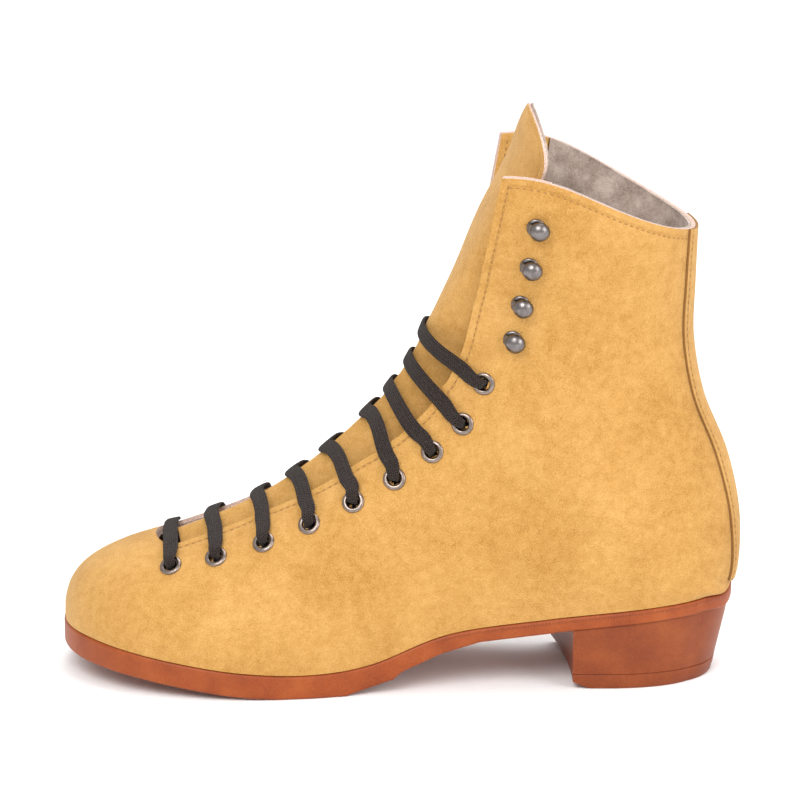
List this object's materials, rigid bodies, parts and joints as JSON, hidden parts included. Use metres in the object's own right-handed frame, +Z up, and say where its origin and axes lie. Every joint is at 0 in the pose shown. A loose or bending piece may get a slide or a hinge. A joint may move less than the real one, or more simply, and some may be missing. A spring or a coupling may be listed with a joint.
{
  "type": "lace-up skate boot",
  "caption": "Left lace-up ankle skate boot in suede, without a blade: lasted upper, tongue, eyelets, speed hooks, laces, rubber sole and stacked heel.",
  "frame": {"origin": "centre of the boot's box, on the floor under it", "axes": "-X towards the toe, -Y the lateral side, +Z up"},
  "size_m": [0.2782, 0.0948, 0.241],
  "materials": {
    "suede": "napped mustard suede",
    "lining_felt": "grey-brown felted lining",
    "rubber": "satin terracotta rubber",
    "lace_yarn": "dark brown flat woven",
    "nickel": "polished nickel",
    "gunmetal": "dark nickel",
    "board": "plain insole board",
    "stiffener": "plain fibre stiffener",
    "cork": "granular cork",
    "steel": "plain steel",
    "aglet": "dark plastic tip"
  },
  "bodies": {
    "root": {"outsole": "rubber", "heel_block": "rubber", "heel_top_lift": "rubber", "forefoot_filler": "cork", "shank": "steel", "insole_board": "board", "footbed": "lining_felt", "heel_nail_1": "steel", "heel_nail_2": "steel", "heel_nail_3": "steel", "heel_nail_4": "steel", "heel_nail_5": "steel", "upper": "suede", "toe_puff": "stiffener", "heel_counter": "stiffener", "interlining_lateral": "stiffener", "interlining_medial": "stiffener", "lining": "lining_felt", "inner_facing_lateral": "suede", "inner_facing_medial": "suede", "backstay": "suede", "tongue_lower": "suede", "tongue_lining_lower": "suede", "eyelet_lateral_1": "nickel", "eyelet_lateral_2": "nickel", "eyelet_lateral_3": "nickel", "eyelet_lateral_4": "nickel", "eyelet_lateral_5": "nickel", "eyelet_lateral_6": "nickel", "eyelet_lateral_7": "nickel", "eyelet_lateral_8": "nickel", "eyelet_lateral_9": "nickel", "hook_lateral_1": "gunmetal", "hook_lateral_2": "gunmetal", "hook_lateral_3": "gunmetal", "hook_lateral_4": "gunmetal", "eyelet_medial_1": "nickel", "eyelet_medial_2": "nickel", "eyelet_medial_3": "nickel", "eyelet_medial_4": "nickel", "eyelet_medial_5": "nickel", "eyelet_medial_6": "nickel", "eyelet_medial_7": "nickel", "eyelet_medial_8": "nickel", "eyelet_medial_9": "nickel", "hook_medial_1": "gunmetal", "hook_medial_2": "gunmetal", "hook_medial_3": "gunmetal", "hook_medial_4": "gunmetal", "lace": "lace_yarn", "aglet_1": "aglet", "aglet_2": "aglet"},
    "tongue_top": {"tongue_top": "suede", "tongue_lining_top": "suede"}
  },
  "joints": [
    {"name": "tongue_fold", "type": "hinge", "parent": "root", "child": "tongue_top", "pos_m": [0.0426, -0.0011, 0.1362], "axis": [0, 1, 0], "range_deg": [0, 15], "stiffness_Nm_per_rad": 0.08, "springref_deg": -5.73}
  ]
}
